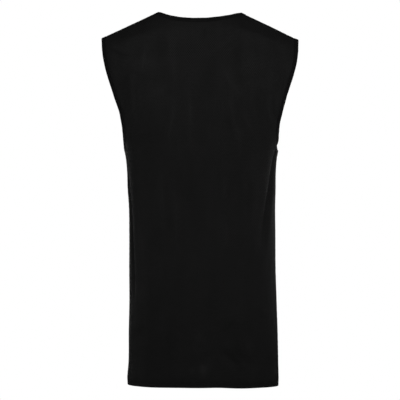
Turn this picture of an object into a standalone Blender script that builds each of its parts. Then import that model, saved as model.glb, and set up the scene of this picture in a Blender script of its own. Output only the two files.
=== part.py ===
"""Basketball jersey in its worn form: a hollow, sleeveless garment of mesh knit.

Frame: metres, +Z up, the front faces -Y and the wearer's left is +X. The origin is the middle
of the neck opening, level with the high points of the shoulders, so heights are negative.

Five cut-and-sewn pieces: back, front, neck binding and two armhole bindings. Each is a closed
cloth wall. The two panels lie on one skin: ovals stacked from the hem to the underarm, carried
on upwards between the armholes and rounded over into the shoulder seams. The bindings are bands
that carry the skin on past the neck seam and the armhole seams.
"""
import math

import bmesh
import bpy
import numpy as np

# Driving dimensions.
HEM_Z = -0.8197
UNDERARM_Z = -0.314          # foot of the armhole seam, top of the side seam
ARMHOLE_WIDEST_Z = -0.205    # height where the armhole seam is deepest front to back
NECK_HALF = 0.100            # neck seam to the centre line, at the shoulder
NECK_POINT = 0.0893          # the shoulder line passes through height 0 here
TIP_HALF = 0.2085            # armhole seam to the centre line, at the shoulder tip
SHOULDER_SLOPE = 0.472
TIP_Z = -SHOULDER_SLOPE * (TIP_HALF - NECK_POINT)
BACK_NECK_Z = -0.0259        # neck seam at the centre of the back
FRONT_NECK_Z = -0.104        # neck seam at the centre of the front
BACK_NECK_CENTRE = 0.014     # the back neckline hangs lowest a little to the left
BACK_NECK_POWER = 2.3
FRONT_NECK_POWER = 2.6
HANG_TILT = 0.0088           # the garment hangs a little lower on the right
OVAL_POWER = 2.4             # 2 is an ellipse, more is squarer
EDGE_DEPTH = 0.59            # armhole seam's depth at the shoulder tip, as a share of the oval's
FRONT_EDGE_EXTRA = 0.10      # the front is cut further in than the back

# Cloth.
WALL = 0.0015
HEM_WALL = 0.0024            # the hem is turned up once
HEM_TURN = 0.014
HALF_GAP = 0.00018           # each piece stops this far from its seam line
NECK_BAND = 0.0100
ARMHOLE_BAND = 0.0090
BAND_PROUD = 0.0003
BAND_THICK = 0.0022
BAND_ROUND = 0.0008

# Ovals of the body, as if the panels ran on under the arms. Left and right are half-widths.
SECTION_COLUMNS = ("height", "left", "right", "back", "front")
SECTIONS = (
    (-0.819, 0.1595, 0.1722, 0.098, 0.112),
    (-0.811, 0.1600, 0.1725, 0.099, 0.112),
    (-0.770, 0.1572, 0.1720, 0.102, 0.113),
    (-0.700, 0.1563, 0.1709, 0.107, 0.114),
    (-0.635, 0.1551, 0.1687, 0.108, 0.114),
    (-0.564, 0.1556, 0.1664, 0.105, 0.113),
    (-0.494, 0.1556, 0.1657, 0.101, 0.113),
    (-0.424, 0.1567, 0.1652, 0.100, 0.114),
    (-0.388, 0.1592, 0.1662, 0.101, 0.115),
    (-0.353, 0.1602, 0.1666, 0.103, 0.117),
    (-0.314, 0.1643, 0.1700, 0.105, 0.119),
    (-0.284, 0.1725, 0.1771, 0.106, 0.121),
    (-0.250, 0.1841, 0.1869, 0.107, 0.124),
    (-0.215, 0.1985, 0.2011, 0.108, 0.126),
    (-0.180, 0.2113, 0.2120, 0.108, 0.126),
    (-0.145, 0.2239, 0.2245, 0.107, 0.124),
    (-0.110, 0.2336, 0.2346, 0.106, 0.120),
    (-0.054, 0.2394, 0.2394, 0.105, 0.115),
    (0.030, 0.2394, 0.2394, 0.104, 0.110),
)

# How each panel rounds over into the shoulder: the height of the quarter ellipse that it does
# so on, at the neck and at the shoulder tip.
ROOF = {
    "back": {"neck": 0.190, "tip": 0.125},
    "front": {"neck": 0.230, "tip": 0.140},
}

# Main creases, each along a line from its low end to its high end. "around" is the place round
# the body: 0 at centre back, 1 at the left side seam, -1 at the right one and 2 or -2 at centre
# front. A ridge has a positive rise and a trough a negative one; bow bends the line sideways.
QUARTER_GIRTH = 0.21         # metres for one unit of "around"
CREASE_COLUMNS = ("name", "low_around", "low_height", "high_around", "high_height",
                  "width", "rise", "bow")
CREASES = (
    ("right side, ridge", -0.50, -0.540, -0.74, -0.270, 0.014, 0.0020, 0.000),
    ("right side, trough", -0.63, -0.510, -0.925, -0.262, 0.012, -0.0085, 0.001),
    ("right side, roll", -0.76, -0.560, -0.94, -0.340, 0.012, 0.0025, 0.000),
    ("left side, ridge", 0.66, -0.620, 0.78, -0.360, 0.014, 0.0020, 0.000),
    ("left side, trough", 0.74, -0.640, 0.905, -0.330, 0.010, -0.0070, 0.000),
    ("left shoulder break", 1.02, -0.080, 0.02, -0.037, 0.016, 0.0050, 0.003),
    ("right shoulder break", -1.02, -0.080, -0.06, -0.035, 0.016, 0.0050, -0.003),
    ("left blade", 0.62, -0.155, 0.56, -0.095, 0.045, 0.0035, 0.000),
    ("right blade", -0.52, -0.155, -0.46, -0.090, 0.045, 0.0035, 0.000),
    ("left armhole hollow", 0.99, -0.245, 0.84, -0.135, 0.012, -0.0026, 0.000),
    ("right armhole hollow", -0.99, -0.225, -0.86, -0.125, 0.012, -0.0022, 0.000),
    ("right of the spine", -0.41, -0.360, -0.40, -0.170, 0.015, 0.0026, 0.004),
    ("left of the spine", 0.30, -0.350, 0.32, -0.180, 0.015, 0.0022, 0.000),
    ("small of the back, left", 0.22, -0.560, 0.28, -0.360, 0.016, 0.0022, 0.000),
    ("small of the back, right", -0.25, -0.560, -0.24, -0.400, 0.016, 0.0018, 0.000),
    ("seat", -0.02, -0.800, 0.06, -0.690, 0.024, 0.0030, 0.000),
    ("left chest to underarm", 1.12, -0.290, 1.45, -0.190, 0.015, 0.0035, -0.004),
    ("right chest to underarm", -1.14, -0.300, -1.42, -0.180, 0.016, 0.0030, 0.004),
    ("left of the front", 1.70, -0.520, 1.62, -0.240, 0.017, 0.0025, 0.004),
    ("right of the front", -1.62, -0.600, -1.70, -0.270, 0.018, 0.0028, 0.003),
    ("front, left side ridge", 1.27, -0.640, 1.18, -0.370, 0.014, 0.0040, 0.000),
    ("front, left side trough", 1.17, -0.620, 1.08, -0.380, 0.011, -0.0045, 0.000),
    ("front, right side ridge", -1.30, -0.700, -1.22, -0.450, 0.015, 0.0035, 0.000),
    ("front, right side trough", -1.19, -0.680, -1.12, -0.460, 0.011, -0.0035, 0.000),
    ("front hem", 1.93, -0.810, 1.88, -0.640, 0.020, 0.0030, 0.000),
)
SHOULDER_FADE = 0.035        # creases die out over this height below the shoulder seam

# Mesh density.
HALF_COLUMNS = 18
NECK_COLUMNS = 8             # of the half columns, those that end in the neck seam
LOW_ROWS = 20
HIGH_ROWS = 14
ARC_SAMPLES = 48             # points that measure the length of a quarter oval
SHARP_ANGLE = 50             # degrees; edges sharper than this are not shaded smooth
TINY = 1e-7
SLOPE_STEP = 1e-5            # metres either side of a point, for the skin's slope there

CLOTH_COLOUR = (0.011, 0.011, 0.012, 1.0)
BAND_COLOUR = (0.009, 0.009, 0.010, 1.0)
CLOTH_ROUGHNESS = 0.78


def table_curve(name, z):
    """Smooth curve through one column of SECTIONS, read at the heights z."""
    rows = np.array(SECTIONS)
    heights = rows[:, 0]
    values = rows[:, SECTION_COLUMNS.index(name)]
    slopes = np.gradient(values, heights)
    z = np.clip(z, heights[0], heights[-1])
    low = np.clip(np.searchsorted(heights, z, side="right") - 1, 0, len(heights) - 2)
    step = heights[low + 1] - heights[low]
    t = (z - heights[low]) / step
    return (values[low] * (1 + 2 * t) * (1 - t) ** 2
            + values[low + 1] * t ** 2 * (3 - 2 * t)
            + step * (slopes[low] * t * (1 - t) ** 2 - slopes[low + 1] * t ** 2 * (1 - t)))


def half_width(x, z):
    return np.where(x >= 0, table_curve("left", z), table_curve("right", z))


def oval(share):
    """One half-axis of an oval's outline, as a share, at a share of the other half-axis."""
    return (1 - np.clip(share, 0, 1) ** OVAL_POWER) ** (1 / OVAL_POWER)


def roof_line(x):
    """Height of the shoulder line over x, carried on in a low arch over the neck opening."""
    arch = 0.5 * SHOULDER_SLOPE * NECK_POINT * (1 - (x / NECK_POINT) ** 2)
    return np.where(np.abs(x) < NECK_POINT, arch, -SHOULDER_SLOPE * (np.abs(x) - NECK_POINT))


def roof_share(panel, x, z):
    """Share of the oval's depth that is left below the shoulder line: 0 on it, 1 well below."""
    roof = ROOF[panel]
    reach = np.clip((np.abs(x) - NECK_POINT) / NECK_HALF, 0, 1)
    drop = roof["neck"] + (roof["tip"] - roof["neck"]) * reach
    below = np.clip((roof_line(x) - z) / drop, TINY, 1)
    return np.sqrt(1 - (1 - below) ** 2)


def skin_depth(panel, x, z):
    """Distance of the skin from the plane of the side seams."""
    return table_curve(panel, z) * oval(np.abs(x) / half_width(x, z)) * roof_share(panel, x, z)


def edge_x(panel, side, z, smooth=False):
    """x of the panel's side: the side seam, and above the underarm the armhole seam.

    smooth gives a line that leaves the side seam gently instead, for placing creases.
    """
    foot = np.clip((ARMHOLE_WIDEST_Z - z) / (ARMHOLE_WIDEST_Z - UNDERARM_Z), 0, 1)
    depth = np.full_like(z, EDGE_DEPTH)
    if panel == "front":
        rise = np.clip((TIP_Z - z) / (TIP_Z - ARMHOLE_WIDEST_Z), 0, 1)
        depth = depth + FRONT_EDGE_EXTRA * np.sin(0.5 * math.pi * rise)
    share = (1 - foot) ** 2 * (1 + 2 * foot) if smooth else np.sqrt(1 - foot ** 2)
    return half_width(side, z) * oval(depth * share)


def oval_path(panel, side, z, edge):
    """Points of the oval from the centre line to an edge, as x and length along the cloth."""
    x = edge[:, None] * np.sin(np.linspace(0, 0.5 * math.pi, ARC_SAMPLES))[None, :]
    signed = x * np.where(side >= 0, 1.0, -1.0)[:, None]
    y = table_curve(panel, z)[:, None] * oval(x / half_width(signed, z[:, None]))
    length = np.zeros_like(x)
    length[:, 1:] = np.cumsum(np.hypot(np.diff(x, axis=1), np.diff(y, axis=1)), axis=1)
    return x, length


def along_oval(panel, u, z):
    """x at the share |u| of the way from the centre line to the panel's side, along the cloth."""
    x, length = oval_path(panel, u, z, edge_x(panel, u, z))
    wanted = np.abs(u) * length[:, -1]
    low = np.clip((length < wanted[:, None]).sum(axis=1) - 1, 0, ARC_SAMPLES - 2)
    row = np.arange(len(u))
    part = (wanted - length[row, low]) / (length[row, low + 1] - length[row, low])
    return np.sign(u) * (x[row, low] + part * (x[row, low + 1] - x[row, low]))


def around_body(panel, u, z):
    """Place round the body: 0 at centre back, 1 at the left side, -1 at the right, 2 or -2 in front."""
    side, height = u.ravel(), z.ravel()
    to_edge, to_line = (oval_path(panel, side, height, edge_x(panel, side, height, smooth))[1][:, -1]
                        for smooth in (False, True))
    share = u * (to_edge / to_line).reshape(u.shape)
    return share if panel == "back" else np.where(share >= 0, 2 - share, -2 - share)


def neck_line(panel, x):
    """Height of the neck seam over x."""
    shoulder = float(roof_line(np.array(NECK_HALF)))
    if panel == "back":
        reach = np.where(x > BACK_NECK_CENTRE, NECK_HALF, -NECK_HALF) - BACK_NECK_CENTRE
        share = (x - BACK_NECK_CENTRE) / reach
        return BACK_NECK_Z + (shoulder - BACK_NECK_Z) * share ** BACK_NECK_POWER
    return FRONT_NECK_Z + (shoulder - FRONT_NECK_Z) * (np.abs(x) / NECK_HALF) ** FRONT_NECK_POWER


def top_edge(panel, u):
    """x and height of the panel's top edge: neck seam in the middle, shoulder seams outside."""
    neck_share = NECK_COLUMNS / HALF_COLUMNS
    size = np.abs(u)
    in_neck = NECK_HALF * np.sin(0.5 * math.pi * np.clip(size / neck_share, 0, 1))
    outside = NECK_HALF + (TIP_HALF - NECK_HALF) * (size - neck_share) / (1 - neck_share)
    on_neck = size < neck_share - TINY
    x = np.sign(u) * np.where(on_neck, in_neck, outside)
    return x, np.where(on_neck, neck_line(panel, x), roof_line(x))


def panel_places(panel):
    """Grid of u, x and z over a panel: rows from hem to top, columns from right to left."""
    u = np.linspace(-1, 1, 2 * HALF_COLUMNS + 1)
    rows = []
    for z in np.linspace(HEM_Z, UNDERARM_Z, LOW_ROWS + 1):
        level = np.full_like(u, z)
        rows.append((u, along_oval(panel, u, level), level))
    top_x, top_z = top_edge(panel, u)
    shift = top_x - along_oval(panel, u, top_z)
    for w in np.linspace(0, 1, HIGH_ROWS + 1)[1:]:
        middle = math.sin(0.5 * math.pi * w)
        side = 0.5 * (1 - math.cos(math.pi * w))
        rise = middle + (side - middle) * u ** 4
        z = UNDERARM_Z + (top_z - UNDERARM_Z) * rise
        rows.append((u, along_oval(panel, u, z) + shift * w ** 2 * (3 - 2 * w), z))
    return [np.array(grid) for grid in zip(*rows)]


def skin_level(panel, x, y, z):
    """1 on the skin, more outside it and less inside."""
    width = np.abs(x) / half_width(x, z)
    depth = np.abs(y) / (table_curve(panel, z) * roof_share(panel, x, z))
    return width ** OVAL_POWER + depth ** OVAL_POWER


def skin_normals(panel, x, y, z):
    """Unit normals of the unfolded skin, pointing out of the garment."""
    step = SLOPE_STEP
    normal = np.stack([
        skin_level(panel, x + step, y, z) - skin_level(panel, x - step, y, z),
        skin_level(panel, x, y + step, z) - skin_level(panel, x, y - step, z),
        skin_level(panel, x, y, z + step) - skin_level(panel, x, y, z - step)], axis=-1)
    on_ridge = roof_line(x) - z < TINY
    normal[on_ridge] = np.stack([
        SHOULDER_SLOPE * np.sign(x[on_ridge]),
        np.zeros(on_ridge.sum()),
        np.ones(on_ridge.sum())], axis=-1)
    return normal / np.linalg.norm(normal, axis=-1, keepdims=True)


def crease_relief(panel, u, x, z):
    """How far the creases lift the skin along its normal."""
    around = around_body(panel, u, z)
    relief = np.zeros_like(z)
    for row in CREASES:
        crease = dict(zip(CREASE_COLUMNS, row))
        run = QUARTER_GIRTH * (crease["high_around"] - crease["low_around"])
        climb = crease["high_height"] - crease["low_height"]
        length = math.hypot(run, climb)
        aside = QUARTER_GIRTH * ((around - crease["low_around"] + 2) % 4 - 2)
        above = z - crease["low_height"]
        t = np.clip((aside * run + above * climb) / length ** 2, 0, 1)
        off = (aside * climb - above * run) / length - 4 * crease["bow"] * t * (1 - t)
        relief += crease["rise"] * np.sin(math.pi * t) * np.exp(-(off / crease["width"]) ** 2)
    return relief * np.clip((roof_line(x) - z) / SHOULDER_FADE, 0, 1)


def panel_skin(panel):
    """Points and normals of a panel's outer face, from seam line to seam line."""
    u, x, z = panel_places(panel)
    y = skin_depth(panel, x, z) * (1 if panel == "back" else -1)
    normal = skin_normals(panel, x, y, z)
    points = np.stack([x, y, z + HANG_TILT * x], axis=-1)
    return points + crease_relief(panel, u, x, z)[..., None] * normal, normal


def inward(points, normals):
    """Steps within the skin, one for each point of a closed loop, that move its sides in by one."""
    side = np.roll(points, -1, axis=0) - points
    across = np.cross(normals + np.roll(normals, -1, axis=0), side)
    across /= np.linalg.norm(across, axis=1, keepdims=True)
    across *= -np.sign((across * (points - points.mean(axis=0))).sum())
    before = np.roll(across, 1, axis=0)
    return (before + across) / (1 + (before * across).sum(axis=1, keepdims=True))


def add_piece(name, points, faces, material, collection):
    """A closed body from points and faces, its faces turned outwards."""
    mesh = bpy.data.meshes.new(name)
    mesh.from_pydata([tuple(point) for point in points], [], faces)
    body = bmesh.new()
    body.from_mesh(mesh)
    bmesh.ops.recalc_face_normals(body, faces=body.faces)
    body.to_mesh(mesh)
    body.free()
    mesh.materials.append(material)
    mesh.shade_smooth()
    mesh.set_sharp_from_angle(angle=math.radians(SHARP_ANGLE))
    piece = bpy.data.objects.new(name, mesh)
    collection.objects.link(piece)
    return piece


def panel_wall(name, skin, normal, material, collection):
    """A panel as a closed wall: the skin outside, and the same grid one thickness in."""
    rows, columns = skin.shape[:2]
    rim = [(0, j) for j in range(columns)]
    rim += [(i, columns - 1) for i in range(1, rows)]
    rim += [(rows - 1, j) for j in reversed(range(columns - 1))]
    rim += [(i, 0) for i in reversed(range(1, rows - 1))]
    edge = tuple(np.array(rim).T)
    outer = skin.copy()
    outer[edge] += HALF_GAP * inward(skin[edge], normal[edge])
    in_hem = (outer[..., 2] < HEM_Z + HEM_TURN)[..., None]
    inner = outer - np.where(in_hem, HEM_WALL, WALL) * normal
    corner = np.arange(rows * columns).reshape(rows, columns)
    inside = corner + rows * columns
    faces = []
    for i in range(rows - 1):
        for j in range(columns - 1):
            faces.append((corner[i, j], corner[i, j + 1], corner[i + 1, j + 1], corner[i + 1, j]))
            faces.append((inside[i, j], inside[i + 1, j], inside[i + 1, j + 1], inside[i, j + 1]))
    for start, end in zip(rim, rim[1:] + rim[:1]):
        faces.append((corner[end], corner[start], inside[start], inside[end]))
    faces = [tuple(int(k) for k in face) for face in faces]
    points = np.concatenate([outer.reshape(-1, 3), inner.reshape(-1, 3)])
    return add_piece(name, points, faces, material, collection)


def seam_loop(skins, pick):
    """Closed loop of seam points and normals, back panel first and then the front one."""
    back, front = (tuple(pick(grid) for grid in skins[panel]) for panel in ("back", "front"))
    points = np.concatenate([back[0], front[0][-2:0:-1]])
    normals = np.concatenate([back[1], front[1][-2:0:-1]])
    normals[0] += front[1][0]
    normals[len(back[1]) - 1] += front[1][-1]
    return points, normals / np.linalg.norm(normals, axis=1, keepdims=True)


def band_wall(name, points, normals, width, material, collection):
    """A binding: a rounded strip swept round a seam loop, carrying the skin on into the opening."""
    across = inward(points, normals)
    top, foot = BAND_PROUD, BAND_PROUD - BAND_THICK
    profile = ((HALF_GAP, top), (width - BAND_ROUND, top), (width, top - BAND_ROUND),
               (width, foot + BAND_ROUND), (width - BAND_ROUND, foot), (HALF_GAP, foot))
    rings = [points + d * across + n * normals for d, n in profile]
    count, sides = len(points), len(profile)
    vertices = np.stack(rings, axis=1).reshape(-1, 3)
    faces = []
    for i in range(count):
        for k in range(sides):
            after, beside = (i + 1) % count, (k + 1) % sides
            faces.append((i * sides + k, i * sides + beside, after * sides + beside, after * sides + k))
    return add_piece(name, vertices, faces, material, collection)


def cloth_material(name, colour):
    material = bpy.data.materials.new(name)
    material.use_nodes = True
    shader = material.node_tree.nodes["Principled BSDF"]
    shader.inputs["Base Color"].default_value = colour
    shader.inputs["Roughness"].default_value = CLOTH_ROUGHNESS
    shader.inputs["Metallic"].default_value = 0.0
    material.diffuse_color = colour
    return material


def main():
    for thing in list(bpy.data.objects):
        bpy.data.objects.remove(thing, do_unlink=True)
    collection = bpy.data.collections.new("basketball_jersey")
    bpy.context.scene.collection.children.link(collection)
    knit = cloth_material("mesh_knit", CLOTH_COLOUR)
    tape = cloth_material("binding_knit", BAND_COLOUR)

    skins = {panel: panel_skin(panel) for panel in ("back", "front")}
    for panel, (skin, normal) in skins.items():
        panel_wall(panel + "_panel", skin, normal, knit, collection)
    neck = slice(HALF_COLUMNS - NECK_COLUMNS, HALF_COLUMNS + NECK_COLUMNS + 1)
    points, normals = seam_loop(skins, lambda grid: grid[-1, neck])
    band_wall("neck_binding", points, normals, NECK_BAND, tape, collection)
    for name, column in (("armhole_binding_left", -1), ("armhole_binding_right", 0)):
        points, normals = seam_loop(skins, lambda grid: grid[LOW_ROWS:, column])
        band_wall(name, points, normals, ARMHOLE_BAND, tape, collection)


main()
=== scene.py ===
"""Looks of a basketball jersey in its worn form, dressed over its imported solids.

Metres and +Z up; the front faces -Y and the wearer's left is +X. The two panels and three bindings
are made again as fine cloth on the same skin as their solids, with a turned-up hem, seam
allowances, rows of stitches and all their creases. The camera looks square at the back.
"""
import math

import bpy
import numpy as np
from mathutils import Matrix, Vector
from mathutils.bvhtree import BVHTree


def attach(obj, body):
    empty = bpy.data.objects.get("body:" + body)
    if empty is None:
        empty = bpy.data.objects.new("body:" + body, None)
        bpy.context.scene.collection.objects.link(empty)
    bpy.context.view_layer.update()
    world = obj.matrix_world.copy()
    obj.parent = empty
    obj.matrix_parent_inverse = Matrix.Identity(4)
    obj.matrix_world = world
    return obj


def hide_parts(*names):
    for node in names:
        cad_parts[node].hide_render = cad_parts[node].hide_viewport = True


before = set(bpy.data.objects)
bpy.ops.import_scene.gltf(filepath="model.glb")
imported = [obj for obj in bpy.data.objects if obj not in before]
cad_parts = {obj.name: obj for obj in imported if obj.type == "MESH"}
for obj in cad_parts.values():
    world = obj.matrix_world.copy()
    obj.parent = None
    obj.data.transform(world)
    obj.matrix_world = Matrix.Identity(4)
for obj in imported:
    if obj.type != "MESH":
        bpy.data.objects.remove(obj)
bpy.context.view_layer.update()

# The photo's view: square on, with the picture's width measured at the side seams.
CAMERA_DISTANCE = 5.0
CAMERA_HEIGHT = -0.4136
FRAME_SIDE = 0.88
SENSOR_MM = 36.0

# Driving dimensions, those of the solids.
HEM_Z = -0.8197
UNDERARM_Z = -0.314
ARMHOLE_WIDEST_Z = -0.205
NECK_HALF = 0.100
NECK_POINT = 0.0893
TIP_HALF = 0.2085
SHOULDER_SLOPE = 0.472
TIP_Z = -SHOULDER_SLOPE * (TIP_HALF - NECK_POINT)
BACK_NECK_Z = -0.0259
FRONT_NECK_Z = -0.104
BACK_NECK_CENTRE = 0.014
BACK_NECK_POWER = 2.3
FRONT_NECK_POWER = 2.6
HANG_TILT = 0.0088  # the garment hangs a little lower on the right, by this slope
OVAL_POWER = 2.4
EDGE_DEPTH = 0.59  # the armholes' edges lie at this share of the oval's depth
FRONT_EDGE_EXTRA = 0.10  # and up to this much farther out in front
QUARTER_GIRTH = 0.21
SHOULDER_FADE = 0.035  # creases fade out over this height below the shoulder line

# The ovals that the skin is stacked from: their half axes at each height.
SECTION_COLUMNS = ("height", "left", "right", "back", "front")
SECTIONS = (
    (-0.819, 0.1595, 0.1722, 0.098, 0.112),
    (-0.811, 0.1600, 0.1725, 0.099, 0.112),
    (-0.770, 0.1572, 0.1720, 0.102, 0.113),
    (-0.700, 0.1563, 0.1709, 0.107, 0.114),
    (-0.635, 0.1551, 0.1687, 0.108, 0.114),
    (-0.564, 0.1556, 0.1664, 0.105, 0.113),
    (-0.494, 0.1556, 0.1657, 0.101, 0.113),
    (-0.424, 0.1567, 0.1652, 0.100, 0.114),
    (-0.388, 0.1592, 0.1662, 0.101, 0.115),
    (-0.353, 0.1602, 0.1666, 0.103, 0.117),
    (-0.314, 0.1643, 0.1700, 0.105, 0.119),
    (-0.284, 0.1725, 0.1771, 0.106, 0.121),
    (-0.250, 0.1841, 0.1869, 0.107, 0.124),
    (-0.215, 0.1985, 0.2011, 0.108, 0.126),
    (-0.180, 0.2113, 0.2120, 0.108, 0.126),
    (-0.145, 0.2239, 0.2245, 0.107, 0.124),
    (-0.110, 0.2336, 0.2346, 0.106, 0.120),
    (-0.054, 0.2394, 0.2394, 0.105, 0.115),
    (0.030, 0.2394, 0.2394, 0.104, 0.110),
)
# How far down a panel rounds over from the shoulder line, at the neck and at the tip.
ROOF = {
    "back": {"neck": 0.190, "tip": 0.125},
    "front": {"neck": 0.230, "tip": 0.140},
}

# Creases, each along a line from its low end to its high end, in percent and millimetres.
# "around" is the place round the body: 0 at centre back, 100 at the left side seam, -100 at the
# right one, 200 or -200 at centre front. What a row leaves out is 0.
PERCENT, MM = 100, 1000
CREASE_COLUMNS = {"low_around": PERCENT, "low_height": MM, "high_around": PERCENT,
                  "high_height": MM, "width": MM, "rise": MM, "bow": MM}
MAIN_CREASES = (
    (-50, -540, -74, -270, 14, 2),  # right side, ridge
    (-62.5, -525, -93.5, -258, 8.8, -10, 1),  # right side, trough
    (-60.3, -605, -90, -345, 6.5, 0.6),  # right side, roll
    (74, -640, 90.5, -330, 6.2, -9.8),  # left side, trough
    (66, -620, 78, -360, 14, 1.5),  # left side, ridge
    (102, -80, 2, -37, 14, 5.2, 3),  # left shoulder break
    (-102, -80, -6, -35, 14, 5.2, -3),  # right shoulder break
    (62, -155, 56, -95, 45, 3.5),  # left blade
    (-52, -155, -46, -90, 45, 3.5),  # right blade
    (99, -245, 84, -135, 11, -2.6),  # left armhole hollow
    (-99, -225, -86, -125, 11, -2.2),  # right armhole hollow
    (-41, -360, -40, -170, 15, 2.6, 4),  # right of the spine
    (30, -350, 32, -180, 15, 2.2),  # left of the spine
    (22, -560, 28, -360, 16, 2.2),  # small of the back, left
    (-25, -560, -24, -400, 16, 1.8),  # small of the back, right
    (-2, -800, 6, -690, 24, 3),  # seat
    (112, -290, 145, -190, 15, 3.5, -4),  # left chest to underarm
    (-114, -300, -142, -180, 16, 3, 4),  # right chest to underarm
    (170, -520, 162, -240, 17, 2.5, 4),  # left of the front
    (-162, -600, -170, -270, 18, 2.8, 3),  # right of the front
    (127, -640, 118, -370, 14, 4),  # front, left side ridge
    (117, -620, 108, -380, 11, -4.5),  # front, left side trough
    (-130, -700, -122, -450, 15, 3.5),  # front, right side ridge
    (-119, -680, -112, -460, 11, -3.5),  # front, right side trough
    (193, -810, 188, -640, 20, 3),  # front hem
)
FINE_CREASES = (
    # Left shoulder tip: a dent and the lip over it.
    (70, -106, 98, -83, 5, -1.8, 2),
    (72, -97, 98, -74, 5, 1, 2),
    # Centre of the yoke: a hollow and a tick.
    (-11, -215, -4.5, -72, 18, -1),
    (-3.1, -71, -2.9, -34, 3.5, -1.6),
    # Drags from the right neck point.
    (-2, -108, -36, -36, 6.5, 1.6),
    (-14, -108, -40, -60, 6.5, 1),
    # Left yoke: two streaks, a hollow, the blade's streak and its diagonal.
    (25.5, -140, 23.5, -45, 5.5, 1.5),
    (24.6, -170, 17.2, -38, 5.5, 1.6),
    (34.5, -200, 37, -50, 13, -0.8),
    (63, -150, 53.5, -68, 7.5, 1.8),
    (70, -206, 20, -158, 9, 1.1),
    # Right yoke: a diagonal, a hollow and the blade's streak.
    (-52, -195, -13, -95, 6.5, 1.5, 14),
    (-44, -175, -31, -60, 12, -1),
    (-57, -150, -52, -82, 8.5, 1.8),
    # Fans from the left and the right armhole over the blades.
    (84, -250, 74.5, -140, 6, 1.3),
    (98.5, -185, 74, -142, 7, -1),
    (76, -260, 67, -160, 6.5, 0.8),
    (-82, -265, -75.5, -125, 6, 1.4),
    (-90, -250, -83, -150, 5.5, -0.8),
    (-64, -250, -56, -150, 6.5, 0.9),
    # Streaks down the back: three right of the spine, one left of it, one on it.
    (-37.8, -328, -32.2, -172, 6.5, 1.8, -3),
    (-56, -300, -47, -180, 6, 0.9),
    (-46, -420, -42, -350, 5.5, 1),
    (30.5, -330, 29.8, -180, 6.5, 1.6),
    (9.7, -315, 11, -155, 6, 1.6),
    # Waist: two streaks left of the spine and three right of it.
    (36, -530, 41.5, -345, 6, 1.2),
    (21.5, -530, 26, -370, 6.5, 1.2, 2),
    (-24.4, -420, -24, -355, 5, 1.2),
    (-24.6, -530, -24.3, -440, 5.5, 1.4),
    (-52, -520, -50, -330, 6, -0.8, 3),
    # Seat: a faint ridge, and a trough and a ridge aslant at the right.
    (-7, -640, -6.5, -580, 6, 0.8),
    (-56, -775, -32, -728, 8, -1.2, 3),
    (-46, -785, -20, -745, 8, 1, 3),
    # Over the hem: a roll, crinkles, a blob, a stripe, a flame and two diagonals.
    (-10, -796, 5, -797, 5, 0.9),
    (9.1, -790, 7.1, -770, 6, 1.4),
    (-9.6, -790, -10.5, -756, 6, 1.3),
    (1, -728, 1.5, -700, 7, 1.4),
    (3, -762, 5, -725, 6.5, 1.2),
    (17.2, -768, 20, -704, 12, 0.8),
    (-34.6, -786, -13.3, -741, 8, 1.1),
    (-46.6, -789, -22.8, -740, 6.5, -1.4),
    (-48.5, -752, -48.3, -718, 8, 1.2),
    (-27.6, -742, -25.6, -712, 6.5, 0.9),
    # Dents at the thighs.
    (80, -720, 55, -690, 12, -1.2),
    (-20, -700, -34, -672, 10, -1),
    # Beside the side folds, and under them.
    (62, -560, 70, -400, 8.5, 1.2, -3),
    (-50, -520, -62, -340, 8.5, 1.3, 2),
    (-56, -550, -64, -420, 8, 1.4),
    (-86, -700, -80, -560, 9, -1.4),
    (86, -780, 78, -640, 10, 1.4),
    # Front: drags from the neck, a long one on the chest, and the chest's fans.
    (160, -210, 170, -95, 7, 1.1, 2),
    (178, -235, 180, -125, 6.5, 0.8),
    (-158, -200, -169, -90, 7, 1, -2),
    (-188, -330, -174, -180, 7.5, 0.9, 3),
    (110, -235, 134, -150, 6, 0.9),
    (116, -330, 148, -250, 7, -1.2, -3),
    (-112, -225, -130, -140, 6, 0.9),
    (-118, -350, -150, -260, 7, -1.1, 3),
    # Front: belly, low down, and hem.
    (155, -470, 142, -350, 7.5, 1.2, 3),
    (198, -560, 195, -420, 7, 0.9),
    (-150, -530, -144, -400, 7.5, 1.1, -2),
    (-172, -770, -155, -660, 9, -1.3, 3),
    (162, -780, 150, -680, 9, 1.3, -3),
    (176, -790, 179, -735, 6.5, 1, 2),
    (-190, -785, -186, -725, 7, -1),
    (-136, -790, -140, -730, 7.5, 1),
)

# Painted highlight and shade: along a fine ridge the cloth is painted paler, and in a fine trough
# darker. The tone changes by PAINTED_LIGHT_TONE at a relief of FULL_SHADE_RELIEF. The turned-up
# hem is painted darker as well, a painted shade like a trough's, by this share of
# PAINTED_LIGHT_TONE.
FULL_SHADE_RELIEF = 0.0016
PAINTED_LIGHT_TONE = 0.20
HEM_PAINTED_SHADE = 0.45

# Soft patches: how much paler the cloth is painted there (100 is PAINTED_LIGHT_TONE), a painted
# highlight where positive and a painted shade where negative, and how much wider open its eyelets
# are there, in the same units.
PATCH_COLUMNS = {"around": PERCENT, "height": MM, "half_across": MM, "half_up": MM,
                 "paler": PERCENT, "open": PERCENT}
PATCHES = (
    (1, -88, 80, 34, 20, 80),  # yoke
    (-52, -120, 26, 20, 60, 60),  # yoke, right
    (-20, -55, 22, 14, 20, 40),  # yoke, high right
    (62, -118, 22, 12, 70),  # left blade
    (33, -105, 16, 34, -20),  # left of the yoke
    (-6, -135, 24, 34, -50),  # between the blades
    (-31, -105, 11, 30, -30),  # right of the yoke
    (42, -193, 30, 14, 50),  # left of the back
    (0, -755, 36, 36, 30, 15),  # hem, middle
    (-2.9, -779, 8.5, 12, 420),  # hem, pale spot
    (8.5, -785, 6, 6, 120),  # hem, pale spot beside it
    (199, -210, 75, 45, 0, 35),  # chest
    (-195, -480, 45, 60, 40, 10),  # belly
    (190, -765, 20, 18, 80, 10),  # front hem
)
OPEN_EYELETS = 0.12  # how far the eyelets are open everywhere
PAINTED_LIGHT, OPENED = "painted_light", "opened"

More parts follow.
